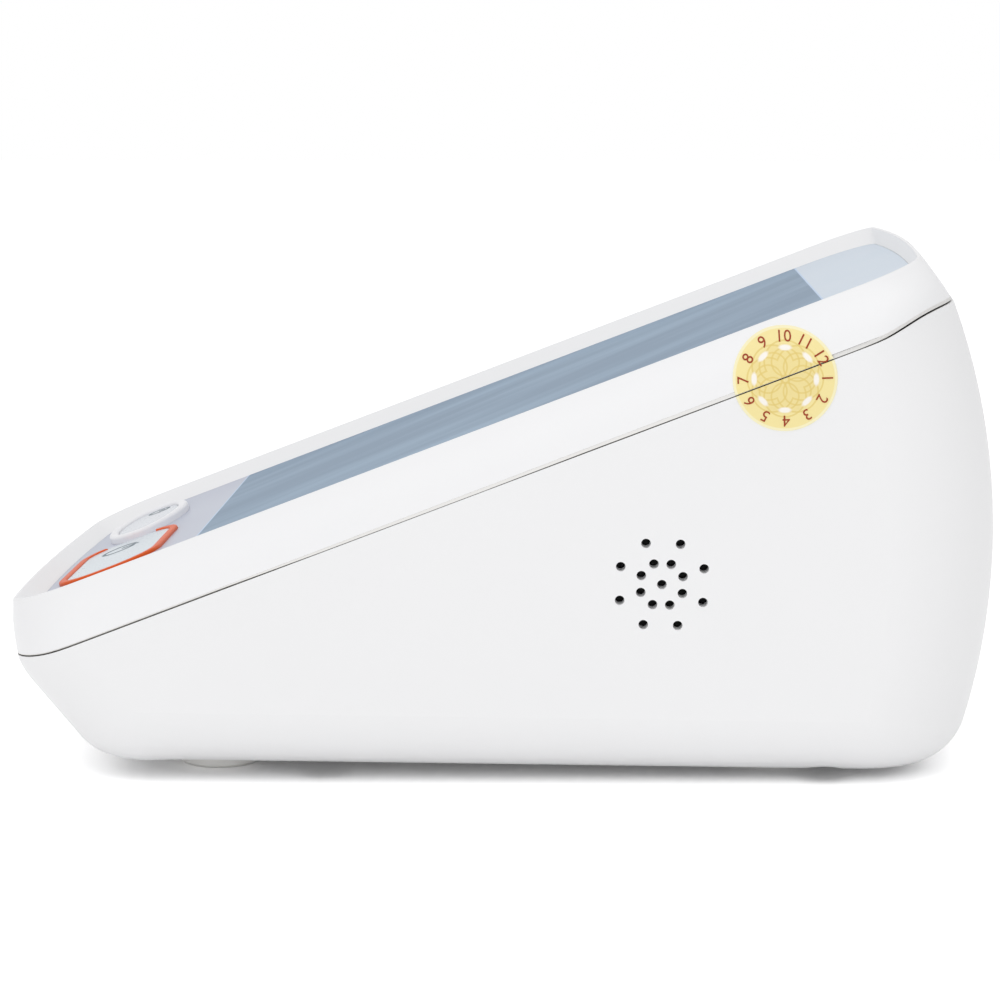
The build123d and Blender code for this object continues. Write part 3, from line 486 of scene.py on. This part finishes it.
def jointHeight(y, frontLift, rearLift):
    creaseMiddle = slopeOrigin.z / mm - joint["creaseDepth"] / math.cos(slopeAngle)
    rise = math.tan(slopeAngle)
    front = joint["frontHeight"] + frontLift
    rear = creaseMiddle + rise * joint["rearY"] + joint["rearRise"] + rearLift
    knee = creaseMiddle + rise * joint["kneeY"] + rearLift
    cornerY = (joint["frontHeight"] - creaseMiddle) / rise
    beyond = 3 * joint["rearY"]
    line = [Vector(p) for p in ((-beyond, front), (cornerY, front), (joint["kneeY"], knee),
                                (joint["rearY"], rear), (beyond, rear))]
    for corner, radius in zip(range(1, 4), joint["bendRadii"]):
        before = (line[corner] - line[corner - 1]).normalized()
        after = (line[corner + 1] - line[corner]).normalized()
        bend = math.asin(before.x * after.y - before.y * after.x)
        tangent = radius * math.tan(abs(bend) / 2)
        first, last = line[corner] - before * tangent, line[corner] + after * tangent
        if first.x <= y <= last.x:
            side = math.copysign(1, bend)
            middle = first + Vector((-before.y, before.x)) * radius * side
            return middle.y - side * math.sqrt(radius ** 2 - (y - middle.x) ** 2)
    for first, last in zip(line, line[1:]):
        if y <= last.x:
            return first.y + (last.y - first.y) * (y - first.x) / (last.x - first.x)


def grooveHeights(y):
    return jointHeight(y, 0, 0), jointHeight(y, joint["grooveFront"], joint["grooveRear"])


# A lip of the case stands in the groove, a little set back, and leaves an open line below it,
# closed again deeper in. The line is finest along the middle of the sides, where the shells are
# drawn together. Where the groove widens towards the back, the lip's top shows as a finer line
lip = {
    "stations": 400,
    "searches": 8,
    "reach": 0.15,
    "lineWidths": ((-42.0, 0.24), (-28.0, 0.09), (-2.0, 0.09), (14.0, 0.2)),
    "lineDepth": 0.75,
    "footGap": 0.02,
    "topGap": (0.01, 0.06),
    "setBack": (0.02, 0.3),
    "stepWidths": (0.8, 0.9),
    "innerDepth": 1.27,
    "edgeClearance": 0.03,
}


# How far the line stands open, from the front to the back
def lineOpen(y):
    places = lip["lineWidths"]
    for (firstY, first), (lastY, last) in zip(places, places[1:]):
        if firstY <= y <= lastY:
            return first + (last - first) * (y - firstY) / (lastY - firstY)
    return places[0][1] if y < places[0][0] else places[-1][1]


# Edges of the groove seen in one direction from the upright middle axis, and the way outwards
def grooveAt(outward):
    halfWidth, halfLength = cadBox[1][0] / mm, cadBox[1][1] / mm
    y = min(max(halfWidth * outward.y / max(abs(outward.x), mm), -halfLength), halfLength)
    for _ in range(lip["searches"]):
        low, high = grooveHeights(y)
        start = outward * lip["reach"] + Vector((0, 0, (high + lip["edgeClearance"]) * mm))
        top, normal = firstFace(start, -outward)
        y = top.y / mm
    start = outward * lip["reach"] + Vector((0, 0, (low - lip["edgeClearance"]) * mm))
    bottom, _ = firstFace(start, -outward)
    return bottom, top, Vector((normal.x, normal.y, 0)).normalized(), high - low


sections = []
for i in range(lip["stations"]):
    turn = 2 * math.pi * i / lip["stations"]
    bottom, top, outward, width = grooveAt(Vector((math.sin(turn), -math.cos(turn), 0)))
    narrow, wide = lip["stepWidths"]
    share = min(max((width - narrow) / (wide - narrow), 0), 1)
    setBack, topGap = [first + (last - first) * share for first, last in (lip["setBack"], lip["topGap"])]
    rise = top - bottom
    lowEdge = bottom + rise * ((lineOpen(bottom.y / mm) + lip["edgeClearance"]) * mm / rise.z)
    footEdge = bottom + rise * ((lip["footGap"] + lip["edgeClearance"]) * mm / rise.z)
    highEdge = top - rise * ((topGap + lip["edgeClearance"]) * mm / rise.z)
    corners = ((lowEdge, setBack), (highEdge, setBack), (highEdge, lip["innerDepth"]),
               (footEdge, lip["innerDepth"]), (footEdge, lip["lineDepth"]), (lowEdge, lip["lineDepth"]))
    sections.append([edge - outward * depth * mm for edge, depth in corners])
vertices, faces = stripSolid(sections, True)
meshPiece("joint_lip", vertices, faces, moulded("mattAbsLip", lipFinish), "housing")
print("lip set in the joint")

# Round paper seal stuck across the joint on the right side, with plain numbers. It was cut along
# the joint, and its upper half reaches down over the groove
seal = {
    "centerY": 44.5,
    "centerZ": 65.1,
    "radius": 8.0,
    "rows": 15,
    "columns": 44,
    "thick": 0.1,
    "lift": 0.02,
    "slit": 0.24,
    "leastHalf": 0.03,
    "numberRadius": 6.35,
    "numberHeight": 1.75,
    "sizePerCapital": 1.42,
    "firstAngle": 62.0,
}


# Point on the right side, or on the straight line over the groove, lifted off it
def onSide(y, z, lift):
    low, high = grooveHeights(y)
    clear = lip["edgeClearance"]
    heights = (low - clear, high + clear) if low - clear < z < high + clear else (z, z)
    ends = [firstFace(Vector((lip["reach"], y * mm, height * mm)), Vector((-1, 0, 0)))[0].x
            for height in heights]
    share = (z - heights[0]) / max(heights[1] - heights[0], mm)
    return Vector((ends[0] + (ends[1] - ends[0]) * share + lift * mm, y * mm, z * mm))


# Half of the seal above or below the cut, as rows across and columns along the slope
def sealHalf(way):
    cut = (jointHeight(seal["centerY"], 0, 0) - seal["centerZ"]) * math.cos(slopeAngle)
    if way > 0:
        cut += seal["slit"]
    under = []
    for i in range(seal["rows"]):
        v = cut + (way * seal["radius"] - cut) * math.sin(math.pi / 2 * i / (seal["rows"] - 1))
        half = math.sqrt(max(seal["radius"] ** 2 - v ** 2, seal["leastHalf"] ** 2))
        for j in range(seal["columns"] + 1):
            u = -half * math.cos(math.pi * j / seal["columns"])
            y = seal["centerY"] + u * math.cos(slopeAngle) - v * math.sin(slopeAngle)
            z = seal["centerZ"] + u * math.sin(slopeAngle) + v * math.cos(slopeAngle)
            under.append(onSide(y, z, seal["lift"]))
    over = [point + Vector((seal["thick"] * mm, 0, 0)) for point in under]
    count, width, last = len(under), seal["columns"] + 1, seal["rows"] - 1
    faces = []
    for i in range(last):
        for j in range(width - 1):
            face = [i * width + j, i * width + j + 1, (i + 1) * width + j + 1, (i + 1) * width + j]
            faces += [[k + count for k in face[::way]], face[::-way]]
    rim = [i * width for i in range(last)] + [last * width + j for j in range(width - 1)]
    rim += [i * width + width - 1 for i in range(last, 0, -1)] + list(range(width - 1, 0, -1))
    for a, b in zip(rim, rim[1:] + rim[:1]):
        faces.append([a, b, b + count, a + count][::-way])
    return under + over, faces


# Gold-tinted foil paper, offset printed with overlapping rings and left pale in a wreath of
# openings between them. Lightly glossy
sealFinish = {
    "wreathCount": 8,
    "ringCentre": 2.6,
    "ringRadii": (2.1, 3.2),
    "lineWidth": 0.13,
    "lineStrength": 0.7,
    "openingRadius": 4.75,
    "openingSize": (0.42, 0.95),
    "goldColour": "#EFDD9A",
    "bandColour": "#F4E4A2",
    "bandFrom": 5.3,
    "lineColour": "#E2C976",
    "openingColour": "#F9F4EC",
    "rimColour": "#F7EFC4",
    "rimWidth": 0.42,
    "shader": {"Roughness": 0.45, "IOR": 1.45, "Specular IOR Level": 0.3},
}


def sealMaterial():
    finish = sealFinish
    material, tree, shader, place = startMaterial("goldFoilPaper", finish["shader"])
    shift = addNode(tree, "ShaderNodeVectorMath",
                    {"operation": "MULTIPLY_ADD", 1: (0, 1 / mm, 1 / mm),
                     2: (0, -seal["centerY"], -seal["centerZ"])}, {0: place})
    apart = addNode(tree, "ShaderNodeSeparateXYZ", {}, {0: shift.outputs[0]})
    radius = addNode(tree, "ShaderNodeVectorMath", {"operation": "LENGTH"},
                     {0: shift.outputs[0]}).outputs["Value"]
    turn = addNode(tree, "ShaderNodeMath", {"operation": "ARCTAN2"},
                   {0: apart.outputs["Z"], 1: apart.outputs["Y"]}).outputs[0]
    # Every point is folded into one eighth of the seal, either side of zero
    eighth = 2 * math.pi / finish["wreathCount"]
    folded = addNode(tree, "ShaderNodeMath", {"operation": "WRAP", 1: eighth / 2, 2: -eighth / 2},
                     {0: turn}).outputs[0]
    corners = [addNode(tree, "ShaderNodeMath", {"operation": "MULTIPLY"}, {
        0: radius,
        1: addNode(tree, "ShaderNodeMath", {"operation": way}, {0: folded}).outputs[0],
    }).outputs[0] for way in ("COSINE", "SINE")]
    sector = addNode(tree, "ShaderNodeCombineXYZ", {}, {"X": corners[0], "Y": corners[1]}).outputs[0]
    layers = []
    for ringRadius in finish["ringRadii"]:
        for k in (-1, 0, 1):
            middle = Vector((math.cos(k * eighth), math.sin(k * eighth), 0)) * finish["ringCentre"]
            far = addNode(tree, "ShaderNodeVectorMath", {"operation": "DISTANCE", 1: middle}, {0: sector})
            off = addNode(tree, "ShaderNodeMath", {"operation": "SUBTRACT", 1: ringRadius},
                          {0: far.outputs["Value"]})
            size = addNode(tree, "ShaderNodeMath", {"operation": "ABSOLUTE"}, {0: off.outputs[0]})
            layers.append((size.outputs[0], finish["lineWidth"], "lineColour", finish["lineStrength"]))
    opening = addNode(tree, "ShaderNodeMapping",
                      {"vector_type": "TEXTURE", "Location": (finish["openingRadius"], 0, 0),
                       "Scale": finish["openingSize"] + (1,)}, {"Vector": sector})
    inside = addNode(tree, "ShaderNodeVectorMath", {"operation": "LENGTH"}, {0: opening.outputs[0]})
    layers.append((inside.outputs["Value"], 1.0, "openingColour", 1.0))
    band = addNode(tree, "ShaderNodeMapRange",
                   {"From Min": finish["bandFrom"] - 0.2, "From Max": finish["bandFrom"] + 0.2},
                   {"Value": radius})
    colour = addNode(tree, "ShaderNodeMix",
                     {"data_type": "RGBA", 6: finish["goldColour"], 7: finish["bandColour"]},
                     {0: band.outputs[0]}).outputs[2]
    for size, limit, key, strength in layers:
        mask = addNode(tree, "ShaderNodeMapRange",
                       {"From Min": limit * 1.25, "From Max": limit * 0.75, "To Max": strength},
                       {"Value": size})
        colour = addNode(tree, "ShaderNodeMix", {"data_type": "RGBA", 7: finish[key]},
                         {0: mask.outputs[0], 6: colour}).outputs[2]
    rim = addNode(tree, "ShaderNodeMapRange",
                  {"From Min": seal["radius"] - finish["rimWidth"] - 0.05,
                   "From Max": seal["radius"] - finish["rimWidth"] + 0.05}, {"Value": radius})
    colour = addNode(tree, "ShaderNodeMix", {"data_type": "RGBA", 7: finish["rimColour"]},
                     {0: rim.outputs[0], 6: colour}).outputs[2]
    tree.links.new(colour, shader.inputs["Base Color"])
    fibre = addNode(tree, "ShaderNodeTexNoise", {"Scale": 1 / (0.35 * mm), "Detail": 2.0}, {"Vector": place})
    bump = addNode(tree, "ShaderNodeBump", {"Strength": 0.15, "Distance": 0.02 * mm},
                   {"Height": fibre.outputs["Fac"]})
    tree.links.new(bump.outputs["Normal"], shader.inputs["Normal"])
    return material


sealPaper = sealMaterial()
for name, way in (("seal_upper", 1), ("seal_lower", -1)):
    vertices, faces = sealHalf(way)
    meshPiece(name, vertices, faces, sealPaper, "housing")

# Red-brown numbers printed round the seal, heads outwards
numberInk = moulded("offsetPrintInk", dict(inkFinish, colours=("#A33A12", "#95340F")))
numberVertices, numberFaces = [], []
for number in range(1, 13):
    bpy.ops.object.text_add()
    text = bpy.context.object
    text.data.body = str(number)
    text.data.size = seal["numberHeight"] * seal["sizePerCapital"]
    text.data.align_x = "CENTER"
    text.data.align_y = "CENTER"
    text.data.resolution_u = 3
    flatMesh = text.to_mesh()
    angle = math.radians(seal["firstAngle"] - 30 * (number - 11))
    turned = Matrix.Rotation(angle - math.pi / 2, 4, "Z")
    outward = Vector((math.cos(angle), math.sin(angle), 0)) * seal["numberRadius"]
    count = len(numberVertices)
    for vertex in flatMesh.vertices:
        p = turned @ vertex.co + outward
        numberVertices.append((seal["centerY"] + p.x, seal["centerZ"] + p.y))
    numberFaces += [[i + count for i in polygon.vertices] for polygon in flatMesh.polygons]
    text.to_mesh_clear()
    bpy.data.objects.remove(text)

lifted = [onSide(y, z, seal["lift"] + seal["thick"] + inkThickness) for y, z in numberVertices]
numbers = meshPiece("seal_numbers", lifted, numberFaces, numberInk, "housing")
film = numbers.modifiers.new("inkFilm", "SOLIDIFY")
film.thickness = inkThickness * mm
film.offset = 0
print("seal stuck on")

# Floor: a pale paper sweep that the camera sees as white outside the object's soft shadow
stage = {
    "side": 6.0,
    "drop": 0.0001,
    "floorColour": "#FAFAFA",
    "cameraColour": 1.6,
    "worldLevel": 0.75,
}
bpy.ops.mesh.primitive_plane_add(size=stage["side"], location=(0, 0, -stage["drop"]))
floor = bpy.context.object
floor.name = "floor"
paperShader = {"Roughness": 0.9, "Specular IOR Level": 0.0}
floorMaterial, tree, shader, place = startMaterial("paperSweep", paperShader)
path = addNode(tree, "ShaderNodeLightPath")
seen = addNode(tree, "ShaderNodeMath", {"operation": "MAXIMUM"},
               {0: path.outputs["Is Camera Ray"], 1: path.outputs["Is Glossy Ray"]})
paper = addNode(tree, "ShaderNodeMix",
                {"data_type": "RGBA", 6: stage["floorColour"], 7: (stage["cameraColour"],) * 3 + (1,)},
                {0: seen.outputs[0]})
tree.links.new(paper.outputs[2], shader.inputs["Base Color"])
# Seen from beneath, the sweep is clear, so that the underside can be looked at
face = addNode(tree, "ShaderNodeNewGeometry")
sides = addNode(tree, "ShaderNodeMixShader", {}, {
    0: face.outputs["Backfacing"],
    1: shader.outputs["BSDF"],
    2: addNode(tree, "ShaderNodeBsdfTransparent").outputs["BSDF"],
})
tree.links.new(sides.outputs["Shader"], tree.nodes["Material Output"].inputs["Surface"])
floor.data.materials.append(floorMaterial)

world = bpy.data.worlds.new("softbox")
bpy.context.scene.world = world
world.use_nodes = True
tree = world.node_tree
background = tree.nodes["Background"]
background.inputs["Color"].default_value = (1, 1, 1, 1)
path = addNode(tree, "ShaderNodeLightPath")
seen = path.outputs["Is Camera Ray"]
for ray in ("Is Glossy Ray", "Is Transmission Ray"):
    either = addNode(tree, "ShaderNodeMath", {"operation": "MAXIMUM"}, {0: seen, 1: path.outputs[ray]})
    seen = either.outputs[0]
level = addNode(tree, "ShaderNodeMapRange", {"To Min": stage["worldLevel"], "To Max": 1.0}, {"Value": seen})
tree.links.new(level.outputs["Result"], background.inputs["Strength"])

lamps = {
    "overheadSoftbox": {"place": (0.35, -0.15, 1.1), "size": (0.9, 0.9), "watts": 2.4},
    "sideSoftbox": {"place": (1.3, -0.1, 0.13), "size": (1.2, 0.24), "watts": 2.5},
}
aimPoint = Vector((0, 0, 0.04))
for name, lamp in lamps.items():
    light = bpy.data.lights.new(name, "AREA")
    light.shape = "RECTANGLE"
    light.size, light.size_y = lamp["size"]
    light.energy = lamp["watts"]
    holder = bpy.data.objects.new(name, light)
    bpy.context.scene.collection.objects.link(holder)
    holder.location = lamp["place"]
    holder.rotation_euler = (aimPoint - Vector(lamp["place"])).to_track_quat("-Z", "Y").to_euler()
bpy.context.scene.view_settings.view_transform = "Standard"
print("stage lit")

# Camera at the photograph's place, solved from the body's edges
viewpoint = {
    "place": (533.0, 17.0, 113.48),
    "azimuth": 91.955,
    "pitch": 8.0686,
    "lens": 111.74,
    "clipStart": 0.01,
}
azimuth, pitch = math.radians(viewpoint["azimuth"]), math.radians(viewpoint["pitch"])
back = Vector((math.sin(azimuth) * math.cos(pitch), -math.cos(azimuth) * math.cos(pitch), math.sin(pitch)))
camera = bpy.data.objects.new("camera", bpy.data.cameras.new("camera"))
bpy.context.scene.collection.objects.link(camera)
camera.data.lens = viewpoint["lens"]
camera.data.clip_start = viewpoint["clipStart"]
camera.location = Vector(viewpoint["place"]) * mm
camera.rotation_mode = "QUATERNION"
camera.rotation_quaternion = (-back).to_track_quat("-Z", "Y")
bpy.context.scene.camera = camera
